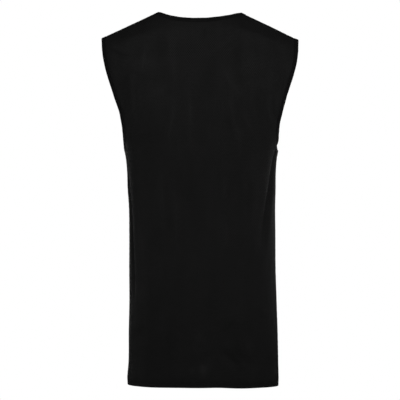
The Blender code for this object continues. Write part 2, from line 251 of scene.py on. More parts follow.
# Soft unevenness of hanging cloth. Each layer has a seed, a wavelength, how much longer its waves
# are up the cloth, and a rise.
UNEVEN = (
    (3, 0.11, 2.5, 0.0005),
    (7, 0.046, 4, 0.00018),
    (11, 0.02, 5, 0.00005),
)
WAVES_IN_LAYER = 14
WAVELENGTH_SPREAD = (0.7, 1.5)
PANEL_SHIFT = {"back": 0.37, "front": 1.93}
CALM_REACH = 0.020  # the unevenness fades to nothing at a seam over this distance

# The hem's own small rises and drops: panel, x, width and rise.
HEM_WAVES = (
    ("back", -0.038, 0.024, 0.0009),
    ("back", 0.105, 0.035, -0.0009),
    ("back", -0.095, 0.028, -0.0007),
    ("front", 0.06, 0.045, 0.0012),
    ("front", -0.085, 0.035, -0.001),
)
HEM_WAVE_FADE = 0.060

# Cloth.
CLOTH = 0.0012  # thickness of the fine cloth
HEM_TURN = 0.0140  # the hem is turned up by this much
HEM_CLOTH = 0.0023
HEM_FOLD_RADIUS = 0.0011
TURN_EDGE = 0.0006  # the turned edge steps back over this height
HALF_GAP = 0.00010  # the cloth ends this far from each seam line
SEAM_DIP = 0.0004  # the cloth is drawn in along a seam
SEAM_DIP_WIDTH = 0.0022
STITCH_DIP = 0.00035
STITCH_DIP_WIDTH = 0.0011
PUCKER = 0.00025  # small waves that stitching draws up beside it
PUCKER_WAVELENGTH = 0.0105
PUCKER_REACH = 0.0090
PUCKER_DRIFTS = (0.047, 0.083)  # lengths over which the waves come closer and part
PUCKER_DRIFT = 1.6  # and by how much, in radians
PUCKER_SWELL = (0.6, 0.4, 9)  # their middle height, how far it changes and how often
PHASES = (0, 6)  # random phases of waves, in radians
SIDE_SEED, TOP_SEED, HEM_SEED = 20, 21, 22

# Mesh density. The hem's first rows lie at its fold, and then from TURN_START over the hem line,
# TURN_STEP apart, until TURN_STOP below the turned edge.
NECK_SHARE = 4 / 9  # share of a panel's half width that ends in the neck seam
HALF_COLUMNS = 81  # a multiple of 9
ROW_BEND = 4  # rows bend from the middle's steps to the sides' with this power of u
ROW_STEP = 0.0031
PATH_SAMPLES = 400
ARC_SAMPLES = 64
RIM_STEPS = (0.0, 0.00035, 0.0009, 0.0016)  # distances of the outermost grid lines from an edge
RIM_CLEAR = 0.004  # smallest share of a half width between the rim's columns and the even ones
TURN_START, TURN_STOP, TURN_STEP = 0.003, 0.001, 0.0020
TURN_CLEAR = 0.0015  # from the turned edge to the next row
UNDERARM_ROWS = 3  # rows below the underarm that the armholes' needle rows can reach
SLOPE_STEP = 1e-5
TINY = 1e-7

# Bindings: a folded strip that grips the raw edge. Profiles run from the seam into the opening,
# as (distance from the seam, height over the skin).
NECK_BAND = 0.0100
ARMHOLE_BAND = 0.0090
GRIP = 0.0013  # how far a binding reaches back over the panel
BAND_TOP = 0.0004
BAND_FOOT = -0.0019
BAND_ROUND = 0.0015  # the folded free edge is rounded over this width
GRIP_ROUND = 0.0004
BAND_COLUMNS = 20
BAND_STEP = 0.0025
BAND_RIPPLE = 0.00022  # the strip waves this far in and out
BAND_WANDER = 0.00030  # and its free edge this far up and down
LOOP_SMOOTHING = 4
BAND_WAVELENGTHS = (0.031, 0.052, 0.078)
BAND_STITCH = 0.0019  # the needle row on the binding, from the seam
CLOTH_STITCH = 0.0034  # the needle row on the panel, from the seam
# Each opening's name, the width of its binding and the seed of its waves.
OPENINGS = (("neck", NECK_BAND, 41), ("left", ARMHOLE_BAND, 43), ("right", ARMHOLE_BAND, 45))

# Stitches: short threads with rings at shares of their half length, each with its girth and how
# far it sinks into the cloth.
STITCH_LENGTH = 0.0026
STITCH_PITCH = 0.0033
STITCH_RADIUS = 0.00027
STITCH_SIDES = 6
STITCH_LIFT = 0.00012
STITCH_CAPS = (((0, 3, 2, 1), (3, 0, 5, 4)), ((0, 1, 2, 3), (3, 4, 5, 0)))  # of the end rings
STITCH_RINGS = ((-1.0, 0.50, 0.00030), (-0.6, 1.0, 0.0), (0.6, 1.0, 0.0), (1.0, 0.50, 0.00030))
HEM_ROWS = (0.0067, 0.0122)  # heights of the twin needle rows over the hem
SHOULDER_ROWS = (0.0020, 0.0052)  # and their distances from the shoulder seams
OPENING_REACH = 0.020  # needle rows round the openings lie nearer to them than this

# Seam allowances, overlocked and pressed to the back.
ALLOWANCE = 0.0070
ALLOWANCE_CLOTH = 0.0011
ALLOWANCE_CLEAR = 0.00005
ALLOWANCE_COLUMNS = 9
ALLOWANCE_POWER = 6  # the higher, the squarer its edges
ALLOWANCE_LINES = 8  # grid lines of the panel that it lies on
SEAM_COVER = 0.0010  # it reaches this far past the seam, behind the gap

# Knit: staggered eyelets between columns of loops.
EYELET_COLUMN = 0.00238
EYELET_ROW = 0.0031
EYELET_EDGE = (0.20, 0.70)  # a hole begins and is fully open at these values of the net's wave
LOOP_WIDTH, LOOP_HEIGHT = 0.00077, 0.0010
WALE_SHARE = 0.2  # the streaks along the columns are drawn out to 1 / this
RIB_PITCH = 0.0013
THREAD_TWIST = 0.0006
RELIEF_DEPTHS = {"knit": 0.00030, "rib": 0.00018, "thread": 0.00008}
LOOP_RELIEF = {"knit": 0.18, "rib": 0.25}  # height of the loops beside that of eyelets or ribs

# Looks. Each mottling is the scale of its noise and the tones at the ends of NOISE_RANGE.
NOISE_RANGE = (0.3, 0.7)
NOISE_DETAIL = 2.0
KNIT_BROAD = (16.0, 0.48, 0.53)
KNIT_FINE = (260.0, 0.90, 1.10)
KNIT_WALES = (45.0, 0.96, 1.04)
RIB_BROAD = (40.0, 0.80, 1.0)
THREAD_BROAD = (900.0, 0.7, 1.0)
# The ribs' crests are painted paler than their valleys, a painted highlight on each rib.
RIB_PAINTED_HIGHLIGHT = 0.10  # how much paler the crests of the ribs are
KNIT_COLOUR = (0.042, 0.042, 0.042, 1)
KNIT_DARK = (0, 0, 0, 1)
HOLE_COLOUR = (0.001, 0.001, 0.001, 1)
RIB_COLOUR = (0.0105, 0.0105, 0.0105, 1)
RIB_DARK = (0.006, 0.006, 0.006, 1)
THREAD_COLOUR = (0.015, 0.015, 0.015, 1)
KNIT_ROUGHNESS = (0.56, 0.95)  # of the yarn and of the eyelets
RIB_ROUGHNESS = (0.66, 0.74)
THREAD_ROUGHNESS = (0.60, 0.50)
ROUGH_MOTTLE = 0.1  # how far the knit's roughness follows its broad mottling
GLOSS = {"knit": 0.14, "rib": 0.22, "thread": 0.30}
UV_NAME = "cloth_metres"

# Studio. A light has a place, the height on the z axis that it aims at, a size and a power.
WHITE = (1, 1, 1, 1)
WORLD_LIGHT = 0.004
FLOOR_Z = -1.47
FLOOR_RADIUS = 1.5
FLOOR_SIDES = 96
FLOOR_COLOUR = (0.82, 0.82, 0.82, 1)
FLOOR_ROUGHNESS = 0.9
FLOOR_GLOW = 0.62  # keeps the floor pale to the camera, without lighting the cloth
LIGHTS = (
    ("key left", (0.85, 1.81, 1.0), -0.4, 0.6, 3.9),
    ("key right", (-0.85, 1.81, 1.0), -0.4, 0.6, 4.7),
    ("high", (0, 1.2, 1.4), -0.4, 0.6, 2.0),
    ("camera side", (0, 2.0, 0.6), -0.4, 0.6, 1.5),
    ("low", (0, 1.6, -1.3), -0.4, 0.6, 0.4),
    ("low left", (1.53, 1.29, -0.5), -0.4, 0.6, 0.6),
    ("low right", (-1.53, 1.29, -0.5), -0.4, 0.6, 0.5),
    ("shoulder left", (0.92, 0.92, 0.1), 0.1, 0.3, 0.85),
    ("shoulder right", (-0.92, 0.92, 0.1), 0.1, 0.3, 0.65),
    ("rim right, high", (-1.295, -0.11, -0.2), -0.2, 0.3, 0.88),
    ("rim right, back", (-1.26, -0.34, -0.2), -0.2, 0.3, 0.38),
    ("rim right, low", (-1.13, 0.65, -0.9), -0.9, 0.3, 0.18),
    ("rim left, low", (0.80, -0.075, -0.60), -0.60, 0.2, 0.34),
    ("far left", (0.84, -1.00, -0.45), -0.45, 0.3, 0.5),
    ("far right", (-0.95, -0.89, -0.35), -0.35, 0.3, 0.6),
    ("front fill", (0, -2.6, -0.3), -0.4, 1.6, 10),
)


def table_curve(name, z):
    """Smooth curve through one column of SECTIONS, read at the heights z."""
    rows = np.array(SECTIONS)
    heights, values = rows[:, 0], rows[:, SECTION_COLUMNS.index(name)]
    slopes = np.gradient(values, heights)
    z = np.clip(z, heights[0], heights[-1])
    low = np.clip(np.searchsorted(heights, z, side="right") - 1, 0, len(heights) - 2)
    step = heights[low + 1] - heights[low]
    t = (z - heights[low]) / step
    return (values[low] * (1 + 2 * t) * (1 - t) ** 2
            + values[low + 1] * t ** 2 * (3 - 2 * t)
            + step * (slopes[low] * t * (1 - t) ** 2 - slopes[low + 1] * t ** 2 * (1 - t)))


def half_width(x, z):
    return np.where(x >= 0, table_curve("left", z), table_curve("right", z))


def oval(share):
    """One half-axis of an oval's outline, as a share, at a share of the other half-axis."""
    return (1 - np.clip(share, 0, 1) ** OVAL_POWER) ** (1 / OVAL_POWER)


def roof_line(x):
    """Height of the shoulder line over x, carried on in a low arch over the neck opening."""
    arch = 0.5 * SHOULDER_SLOPE * NECK_POINT * (1 - (x / NECK_POINT) ** 2)
    return np.where(np.abs(x) < NECK_POINT, arch, -SHOULDER_SLOPE * (np.abs(x) - NECK_POINT))


def roof_share(panel, x, z):
    """Share of the oval's depth that is left below the shoulder line: 0 on it, 1 well below."""
    roof = ROOF[panel]
    reach = np.clip((np.abs(x) - NECK_POINT) / NECK_HALF, 0, 1)
    drop = roof["neck"] + (roof["tip"] - roof["neck"]) * reach
    below = np.clip((roof_line(x) - z) / drop, TINY, 1)
    return np.sqrt(1 - (1 - below) ** 2)


def skin_depth(panel, x, z):
    """Distance of the skin from the plane of the side seams."""
    return table_curve(panel, z) * oval(np.abs(x) / half_width(x, z)) * roof_share(panel, x, z)


def edge_x(panel, side, z, smooth=False):
    """x of the panel's side: the side seam, and above the underarm the armhole seam.

    smooth gives a line that leaves the side seam gently instead, for placing creases.
    """
    foot = np.clip((ARMHOLE_WIDEST_Z - z) / (ARMHOLE_WIDEST_Z - UNDERARM_Z), 0, 1)
    depth = np.full_like(z, EDGE_DEPTH)
    if panel == "front":
        rise = np.clip((TIP_Z - z) / (TIP_Z - ARMHOLE_WIDEST_Z), 0, 1)
        depth = depth + FRONT_EDGE_EXTRA * np.sin(0.5 * math.pi * rise)
    share = (1 - foot) ** 2 * (1 + 2 * foot) if smooth else np.sqrt(1 - foot ** 2)
    return half_width(side, z) * oval(depth * share)


def oval_path(panel, side, z, edge):
    """Points of the oval from the centre line to an edge, as x and length along the cloth."""
    x = edge[:, None] * np.sin(np.linspace(0, 0.5 * math.pi, ARC_SAMPLES))[None, :]
    signed = x * np.where(side >= 0, 1.0, -1.0)[:, None]
    y = table_curve(panel, z)[:, None] * oval(x / half_width(signed, z[:, None]))
    length = np.zeros_like(x)
    length[:, 1:] = np.cumsum(np.hypot(np.diff(x, axis=1), np.diff(y, axis=1)), axis=1)
    return x, length


def along_oval(panel, u, z):
    """x at the share |u| of the way from the centre line to the panel's side, along the cloth."""
    x, length = oval_path(panel, u, z, edge_x(panel, u, z))
    wanted = np.abs(u) * length[:, -1]
    low = np.clip((length < wanted[:, None]).sum(axis=1) - 1, 0, ARC_SAMPLES - 2)
    row = np.arange(len(u))
    part = (wanted - length[row, low]) / (length[row, low + 1] - length[row, low])
    return np.sign(u) * (x[row, low] + part * (x[row, low + 1] - x[row, low]))


def around_body(panel, u, z):
    """Place round the body: 0 at centre back, 1 or -1 at the sides, 2 or -2 at centre front."""
    side, height = u.ravel(), z.ravel()
    edges = (edge_x(panel, side, height, smooth) for smooth in (False, True))
    to_edge, to_line = (oval_path(panel, side, height, edge)[1][:, -1] for edge in edges)
    share = u * (to_edge / to_line).reshape(u.shape)
    return share if panel == "back" else np.where(share >= 0, 2 - share, -2 - share)


def aside(around, place):
    """Distance round the body from a place, the short way."""
    return QUARTER_GIRTH * ((around - place + 2) % 4 - 2)


def neck_line(panel, x):
    """Height of the neck seam over x."""
    shoulder = float(roof_line(np.array(NECK_HALF)))
    if panel == "back":
        reach = np.where(x > BACK_NECK_CENTRE, NECK_HALF, -NECK_HALF) - BACK_NECK_CENTRE
        share = (x - BACK_NECK_CENTRE) / reach
        return BACK_NECK_Z + (shoulder - BACK_NECK_Z) * share ** BACK_NECK_POWER
    return FRONT_NECK_Z + (shoulder - FRONT_NECK_Z) * (np.abs(x) / NECK_HALF) ** FRONT_NECK_POWER


def top_edge(panel, u):
    """x and height of the panel's top edge: neck seam in the middle, shoulder seams outside."""
    size = np.abs(u)
    in_neck = NECK_HALF * np.sin(0.5 * math.pi * np.clip(size / NECK_SHARE, 0, 1))
    outside = NECK_HALF + (TIP_HALF - NECK_HALF) * (size - NECK_SHARE) / (1 - NECK_SHARE)
    on_neck = size < NECK_SHARE - TINY
    x = np.sign(u) * np.where(on_neck, in_neck, outside)
    return x, np.where(on_neck, neck_line(panel, x), roof_line(x))


def high_place(panel, u, w, top):
    """x and height on the panel between the underarm, w = 0, and its top edge, w = 1."""
    top_x, top_z, shift = top
    middle = np.sin(0.5 * math.pi * w)
    side = 0.5 * (1 - np.cos(math.pi * w))
    z = UNDERARM_Z + (top_z - UNDERARM_Z) * (middle + (side - middle) * u ** ROW_BEND)
    return along_oval(panel, u, z) + shift * w ** 2 * (3 - 2 * w), z


def skin_level(panel, x, y, z):
    """1 on the skin, more outside it and less inside."""
    width = np.abs(x) / half_width(x, z)
    depth = np.abs(y) / (table_curve(panel, z) * roof_share(panel, x, z))
    return width ** OVAL_POWER + depth ** OVAL_POWER


def skin_normals(panel, x, y, z):
    """Unit normals of the smooth skin, pointing out of the garment."""
    place = np.stack([x, y, z])
    normal = np.stack([
        skin_level(panel, *(place + step)) - skin_level(panel, *(place - step))
        for step in SLOPE_STEP * np.eye(3)[:, :, None, None]], axis=-1)
    on_ridge = roof_line(x) - z < TINY
    normal[on_ridge] = 0, 0, 1
    normal[on_ridge, 0] = SHOULDER_SLOPE * np.sign(x[on_ridge])
    return unit(normal)


def unit(vectors):
    return vectors / np.linalg.norm(vectors, axis=-1, keepdims=True)


def facing(normals, others):
    """The normals, each turned to the side that the other one is on."""
    return normals * np.sign((normals * others).sum(axis=-1, keepdims=True))


def closed(line):
    return np.concatenate([line, line[:1]])


def run_length(points, axis=0):
    """Length along lines of points, from the first point of each."""
    step = np.linalg.norm(np.diff(points, axis=axis), axis=-1)
    return np.cumsum(np.insert(step, 0, 0, axis=axis), axis=axis)


def read_line(at, run, values):
    """Values given along a line, read at other lengths on it."""
    return np.stack([np.interp(at, run, values[:, k]) for k in range(values.shape[1])], axis=-1)


def bell(distance, width):
    """1 at no distance, falling to almost 0 two widths away."""
    return np.exp(-(distance / width) ** 2)


def rows_of(table, columns):
    """The rows of a table by the names of its columns, in metres and shares."""
    for row in table:
        values = row + (0,) * (len(columns) - len(row))
        yield {name: value / columns[name] for name, value in zip(columns, values)}


def crease_relief(creases, around, x, z):
    """How far the creases lift the skin along its normal."""
    relief = np.zeros_like(z)
    for crease in rows_of(creases, CREASE_COLUMNS):
        run = QUARTER_GIRTH * (crease["high_around"] - crease["low_around"])
        climb = crease["high_height"] - crease["low_height"]
        length = math.hypot(run, climb)
        beside = aside(around, crease["low_around"])
        above = z - crease["low_height"]
        t = np.clip((beside * run + above * climb) / length ** 2, 0, 1)
        off = (beside * climb - above * run) / length - 4 * crease["bow"] * t * (1 - t)
        relief += crease["rise"] * np.sin(math.pi * t) * bell(off, crease["width"])
    return relief * np.clip((roof_line(x) - z) / SHOULDER_FADE, 0, 1)


def patches(around, z):
    """Painted highlight and shade of the soft patches, as how much paler they make the cloth, and
    how far they open its eyelets.
    """
    total = np.zeros((2,) + z.shape)
    for patch in rows_of(PATCHES, PATCH_COLUMNS):
        across = aside(around, patch["around"]) / patch["half_across"]
        up = (z - patch["height"]) / patch["half_up"]
        share = np.exp(-(across ** 2 + up ** 2))
        total += np.multiply.outer((patch["paler"], patch["open"]), share)
    return total


def uneven(a, b):
    """Soft random relief at the cloth coordinates a and b, the same in each run."""
    relief = np.zeros_like(a)
    for seed, wavelength, drawn_out, rise in UNEVEN:
        draw = np.random.default_rng(seed)
        for _ in range(WAVES_IN_LAYER):
            angle, phase = draw.uniform(0, 2 * math.pi, 2)
            k = 2 * math.pi / (wavelength * draw.uniform(*WAVELENGTH_SPREAD))
            wave = np.sin(k * (a * math.cos(angle) + b * math.sin(angle) / drawn_out) + phase)
            relief += rise * wave * math.sqrt(2 / WAVES_IN_LAYER)
    return relief


def hem_wave(panel, x, z):
    """How far the hem and the cloth just above it rise off a level line."""
    rise = np.zeros_like(x)
    for where, middle, width, height in HEM_WAVES:
        if where == panel:
            rise += height * bell(x - middle, width)
    return rise * bell(z - HEM_Z, HEM_WAVE_FADE)


def distance_to_path(points, path):
    """Distance of each point from a line of points."""
    start, step = path[:-1], np.diff(path, axis=0)
    away = points[:, None] - start
    t = np.clip((away * step).sum(axis=-1) / (step ** 2).sum(axis=-1), 0, 1)
    return np.linalg.norm(away - t[..., None] * step, axis=-1).min(axis=1)


def pucker(distance, along, seed):
    """Small waves across a row of stitches, fading away from it."""
    draw = np.random.default_rng(seed)
    turns = 2 * math.pi * along
    drift = sum(np.sin(turns / length + draw.uniform(*PHASES)) for length in PUCKER_DRIFTS)
    middle, change, often = PUCKER_SWELL
    swell = middle + change * np.sin(often * drift)
    wave = np.sin(turns / PUCKER_WAVELENGTH + PUCKER_DRIFT * drift)
    return PUCKER * wave * swell * bell(distance, PUCKER_REACH)


def half_columns():
    """Shares |u| from the centre to the panel's side, close together at the side."""
    even = np.linspace(0, 1, HALF_COLUMNS + 1)[:-1]
    rim = 1 - np.array(RIM_STEPS)[::-1] / QUARTER_GIRTH
    return np.concatenate([even[even < rim[0] - RIM_CLEAR], rim])


def low_heights():
    """Heights from the hem to the underarm, close together at the hem's fold and turned edge."""
    fold = HEM_Z + np.array(RIM_STEPS)
    turned = np.arange(HEM_Z + TURN_START, HEM_Z + HEM_TURN - TURN_STOP, TURN_STEP)
    step = HEM_Z + HEM_TURN + np.array([-0.5, 0.5]) * TURN_EDGE
    start = step[-1] + TURN_CLEAR
    rest = np.linspace(start, UNDERARM_Z, round((UNDERARM_Z - start) / ROW_STEP) + 1)
    return np.concatenate([fold, turned, step, rest])


class Shell:
    """Fine grid of one panel: its outer and inner faces and where each point lies on the cloth."""

    def __init__(self, panel):
        self.panel = panel
        self.side = 1 if panel == "back" else -1
        half = half_columns()
        self.u = u = np.concatenate([-half[:0:-1], half])
        low = low_heights()
        top_x, top_z = top_edge(panel, u)
        top = (top_x, top_z, top_x - along_oval(panel, u, top_z))
        rows = [(along_oval(panel, u, np.full_like(u, z)), np.full_like(u, z)) for z in low]
        rows += [high_place(panel, u, w, top) for w in self.even_rows(top)]
        self.low_count = len(low)
        self.place(*(np.array(part) for part in zip(*rows)))
        self.fold()

    def even_rows(self, top):
        """w of each high row and column, at even steps of length up the cloth."""
        w = np.linspace(0, 1, PATH_SAMPLES + 1)
        path = []
        for value in w:
            x, z = high_place(self.panel, self.u, np.full_like(self.u, value), top)
            path.append(np.stack([x, self.side * skin_depth(self.panel, x, z), z], axis=-1))
        length = run_length(np.array(path))
        rim = np.array(RIM_STEPS)[::-1]
        count = round(length[-1].mean() / ROW_STEP)
        share = np.linspace(0, 1, count + 1)[1:-1]
        wanted = [np.concatenate([share * (total - rim[0]), total - rim]) for total in length[-1]]
        return np.array([np.interp(at, run, w) for at, run in zip(wanted, length.T)]).T

    def place(self, x, z):
        """Points of the smooth skin, their normals, and where they lie on the flat cloth.

        The knit's rows are counted square to them and not up the grid's columns, which lean
        over beside the armholes and would squeeze the eyelets there.
        """
        y = self.side * skin_depth(self.panel, x, z)
        self.normal = skin_normals(self.panel, x, y, z)
        self.base = np.stack([x, y, z + HANG_TILT * x + hem_wave(self.panel, x, z)], axis=-1)
        self.x, self.z, self.u_grid = x, z, np.broadcast_to(self.u, x.shape)
        run = run_length(self.base, axis=1)
        self.across = run - run[:, [len(self.u) // 2]]
        self.from_hem = run_length(self.base)
        self.from_top = self.from_hem[-1:] - self.from_hem
        self.from_side = np.where(self.u_grid < 0, run, run[:, -1:] - run)
        self.knit_rows = np.zeros_like(x)
        for k in range(1, len(x)):
            row = np.column_stack([self.base[k - 1], self.knit_rows[k - 1]])
            under = read_line(self.across[k], self.across[k - 1], row)
            step = np.linalg.norm(self.base[k] - under[:, :3], axis=1)
            self.knit_rows[k] = under[:, 3] + step

    def fold(self):
        """Outer and inner faces, with creases, puckers, seam grooves and the turned-up hem."""
        around = around_body(self.panel, self.u_grid, self.z)
        fine = crease_relief(FINE_CREASES, around, self.x, self.z)
        doubled = np.clip((HEM_TURN - self.from_hem) / TURN_EDGE, 0, 1)
        paler, opened = patches(around, self.z)
        # The fine creases, the patches and the turned-up hem are also painted into the tone as
        # highlight and shade.
        self.tones = {PAINTED_LIGHT: fine / FULL_SHADE_RELIEF + paler - HEM_PAINTED_SHADE * doubled,
                      OPENED: OPEN_EYELETS + opened}
        relief = fine + crease_relief(MAIN_CREASES, around, self.x, self.z)
        calm = np.clip(np.minimum(self.from_side, self.from_top) / CALM_REACH, 0, 1)
        relief += calm * uneven(self.across + PANEL_SHIFT[self.panel], self.from_hem)
        relief += pucker(self.from_side, self.from_hem, SIDE_SEED)
        relief += pucker(self.from_top, self.x, TOP_SEED)
        relief += calm * pucker(self.from_hem - HEM_ROWS[-1], self.across, HEM_SEED)
        self.seamline = self.base + relief[..., None] * self.normal
        dips = sum(bell(self.from_hem - at, STITCH_DIP_WIDTH) for at in HEM_ROWS)
        dips += bell(self.from_openings() - CLOTH_STITCH, STITCH_DIP_WIDTH)
        if self.panel == "back":
            rows = sum(bell(self.from_top - at, STITCH_DIP_WIDTH) for at in SHOULDER_ROWS)
            dips += (np.abs(self.u_grid) > NECK_SHARE) * rows
        seam = bell(self.from_side, SEAM_DIP_WIDTH) + bell(self.from_top, SEAM_DIP_WIDTH)
        draw = STITCH_DIP * dips + SEAM_DIP * np.clip(seam, 0, 1)
        edge = np.clip(HEM_FOLD_RADIUS - self.from_hem, 0, HEM_FOLD_RADIUS)
        rounding = HEM_FOLD_RADIUS - np.sqrt(HEM_FOLD_RADIUS ** 2 - edge ** 2)
        turned = np.clip((HEM_TURN + 0.5 * TURN_EDGE - self.from_hem) / TURN_EDGE, 0, 1)
        thick = CLOTH + (HEM_CLOTH - CLOTH) * turned
        trimmed = self.seamline + HALF_GAP * self.trim()
        self.outer = trimmed - (draw + rounding)[..., None] * self.normal
        self.inner = trimmed - (thick - rounding)[..., None] * self.normal
        self.out_normal = self.grid_normals(self.outer)

    def opening_edges(self):
        """The neck seam and the two armhole seams, each as a slice of the grid and its way out."""
        neck = np.flatnonzero(np.abs(self.u) < NECK_SHARE + TINY)
        high = np.arange(self.low_count - 1, len(self.z))
        return {"neck": (-1, neck, -2, neck), "left": (high, -1, high, -2),
                "right": (high, 0, high, 1)}

    def from_openings(self):
        """Distance of each grid point near an opening's seam from that seam."""
        near = np.minimum(self.from_side, self.from_top) < OPENING_REACH
        near[:self.low_count - UNDERARM_ROWS] = False
        distance = np.full(near.shape, OPENING_REACH)
        for row, column, _, _ in self.opening_edges().values():
            away = distance_to_path(self.base[near], self.base[row, column])
            distance[near] = np.minimum(distance[near], away)
        return distance

    def trim(self):
        """Unit steps that move the grid's seam edges in, off the seam lines."""
        step = np.zeros_like(self.base)
        step[:, 0] += unit(self.base[:, 1] - self.base[:, 0])
        step[:, -1] += unit(self.base[:, -2] - self.base[:, -1])
        step[-1] += unit(self.base[-2] - self.base[-1])
        return step

    def grid_normals(self, points):
        """Normals of a grid of points, on the same side as the skin's."""
        along, up = (np.gradient(points, axis=axis) for axis in (1, 0))
        return facing(unit(np.cross(along, up)), self.normal)

    def row_at(self, field, at, columns=slice(None)):
        """Points and normals of the outer face where a field has a value in each column."""
        distance, *faces = (grid[:, columns] for grid in (field, self.outer, self.out_normal))
        k = ((distance[:-1] - at) * (distance[1:] - at) <= 0).argmax(axis=0)
        j = np.arange(distance.shape[1])
        part = ((at - distance[k, j]) / (distance[k + 1, j] - distance[k, j]))[:, None]
        return [grid[k, j] + part * (grid[k + 1, j] - grid[k, j]) for grid in faces]


def numbers(shape):
    return np.arange(math.prod(shape)).reshape(shape)


def quads(grid):
    """The corners of each cell of a grid, four to a row."""
    corners = grid[:-1, :-1], grid[:-1, 1:], grid[1:, 1:], grid[1:, :-1]
    return np.stack(corners, axis=2).reshape(-1, 4, *grid.shape[2:])


def fill(items, field, values, kind=np.float32):
    items.foreach_set(field, np.ascontiguousarray(values, dtype=kind).ravel())


def add_object(name, data):
    thing = bpy.data.objects.new(name, data)
    bpy.context.scene.collection.objects.link(thing)
    return thing


def make_piece(name, points, faces, corner_uvs, material):
    """A smooth closed piece from numpy points, quads and UVs, with its faces turned outwards."""
    a, b, c, d = (points[faces[:, k]] for k in range(4))
    volume = (a * np.cross(b, c) + a * np.cross(c, d)).sum()
    if volume < 0:
        faces, corner_uvs = faces[:, ::-1], corner_uvs[:, ::-1]
    mesh = bpy.data.meshes.new(name)
    mesh.vertices.add(len(points))
    fill(mesh.vertices, "co", points)
    mesh.loops.add(faces.size)
    fill(mesh.loops, "vertex_index", faces, np.int32)
    mesh.polygons.add(len(faces))
    fill(mesh.polygons, "loop_start", np.arange(0, faces.size, 4), np.int32)
    mesh.update(calc_edges=True)
    fill(mesh.uv_layers.new(name=UV_NAME).data, "uv", corner_uvs)
    mesh.validate()
    mesh.materials.append(material)
    mesh.shade_smooth()
    piece = add_object(name, mesh)
    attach(piece, "root")
    return piece


def closed_sheet(name, outer, inner, uvs, material):
    """A closed wall between two grids of points."""
    corner = numbers(outer.shape[:2])
    shift = corner.size
    face = quads(corner)
    rim = np.concatenate([corner[0, :-1], corner[:-1, -1], corner[-1, :0:-1], corner[:0:-1, 0]])
    after = np.roll(rim, -1)
    wall = np.stack([after, rim, rim + shift, after + shift], axis=-1)
    faces = np.concatenate([face, face[:, ::-1] + shift, wall])
    points = np.concatenate([outer.reshape(-1, 3), inner.reshape(-1, 3)])
    both = np.concatenate([uvs.reshape(-1, 2)] * 2)
    return make_piece(name, points, faces, both[faces], material)


def panel_piece(name, shell, material):
    """A panel's cloth, which also keeps its painted highlight and shade and how open it is at each
    point.
    """
    uvs = np.stack([shell.across + PANEL_SHIFT[shell.panel], shell.knit_rows], axis=-1)
    piece = closed_sheet(name, shell.outer, shell.inner, uvs, material)
    for tone, values in shell.tones.items():
        layer = piece.data.attributes.new(tone, "FLOAT", "POINT")
        fill(layer.data, "value", np.tile(values.ravel(), 2))
    return piece


class SeamLoop:
    """Closed seam round an opening, in even steps: points, normals and ways into the opening."""

    def __init__(self, shells, opening):
        lines = []
        for shell, order in zip(shells, (1, -1)):
            row, column, next_row, next_column = shell.opening_edges()[opening]
            points = shell.seamline[row, column]
            out = points - shell.seamline[next_row, next_column]
            line = np.concatenate([points, shell.normal[row, column], out], axis=1)
            lines.append(line[::order][:-1])
        line = closed(np.concatenate(lines))
        run = run_length(line[:, :3])
        self.length = run[-1]
        count = round(self.length / BAND_STEP)
        self.run = np.arange(count) * self.length / count
        even = read_line(self.run, run, line)
        self.points = even[:, :3]
        normals = even[:, 3:6]
        for _ in range(LOOP_SMOOTHING):
            before, after = (np.roll(normals, step, axis=0) for step in (1, -1))
            normals = unit(before + 2 * normals + after)
        self.normals = normals
        ahead = np.roll(self.points, -1, axis=0) - np.roll(self.points, 1, axis=0)
        across = unit(np.cross(ahead, normals))
        self.across = across * np.sign((across * even[:, 6:]).sum())

    def waves(self, seed, height):
        """Gentle random waves along the loop that close on themselves."""
        draw = np.random.default_rng(seed)
        turn = 2 * math.pi * self.run / self.length
        counts = np.round(self.length / np.array(BAND_WAVELENGTHS))
        return height * sum(np.sin(n * turn + draw.uniform(*PHASES)) for n in counts) / len(counts)

    def strip(self, width, seed, distance, height):
        """Points at distances into the opening and heights over the skin, waving a little."""
        reach = np.clip(distance / width, 0, 1)
        ripple = self.waves(seed, BAND_RIPPLE)[:, None] * reach
        wander = self.waves(seed + 1, BAND_WANDER)[:, None] * reach
        away = (distance + wander)[..., None] * self.across[:, None]
        return self.points[:, None] + away + (height + ripple)[..., None] * self.normals[:, None]


def band_heights(distance, width):
    """Heights of a binding's outer and inner faces over the skin."""
    edge = np.clip((distance - (width - BAND_ROUND)) / BAND_ROUND, 0, 1)
    grip = np.clip((GRIP_ROUND - GRIP - distance) / GRIP_ROUND, 0, 1)
    half = 0.5 * (BAND_TOP - BAND_FOOT) * np.sqrt((1 - edge ** 2) * (1 - grip ** 2))
    middle = 0.5 * (BAND_TOP + BAND_FOOT)
    groove = STITCH_DIP * bell(distance - BAND_STITCH, STITCH_DIP_WIDTH)
    return middle + half - groove, middle - half


def binding(name, loop, width, seed, material):
    """A folded strip round an opening: a flat ring of cloth carried along the seam loop."""
    share = 0.5 * (1 - np.cos(np.linspace(0, math.pi, BAND_COLUMNS)))
    distance = -GRIP + (width + GRIP) * share
    top, foot = band_heights(distance, width)
    ring = np.stack([np.concatenate([distance, distance[-2:0:-1]]),
                     np.concatenate([top, foot[-2:0:-1]])], axis=-1)
    points = loop.strip(width, seed, ring[:, 0], ring[:, 1])
    faces = quads(np.pad(numbers(points.shape[:2]), ((0, 1), (0, 1)), mode="wrap"))
    girth = run_length(closed(ring))
    along = np.append(loop.run, loop.length)
    uvs = np.stack(np.meshgrid(along, girth, indexing="ij"), axis=-1)
    return make_piece(name, points.reshape(-1, 3), faces, quads(uvs), material)


def stitch_places(points, normals):
    """Middles, directions and normals of the stitches that fit along a line."""
    run = run_length(points)
    count = int(run[-1] / STITCH_PITCH)
    at = (np.arange(count) + 0.5) * run[-1] / count
    ahead, behind = (read_line(at + end * STITCH_LENGTH, run, points) for end in (0.5, -0.5))
    return read_line(at, run, points), unit(ahead - behind), unit(read_line(at, run, normals))


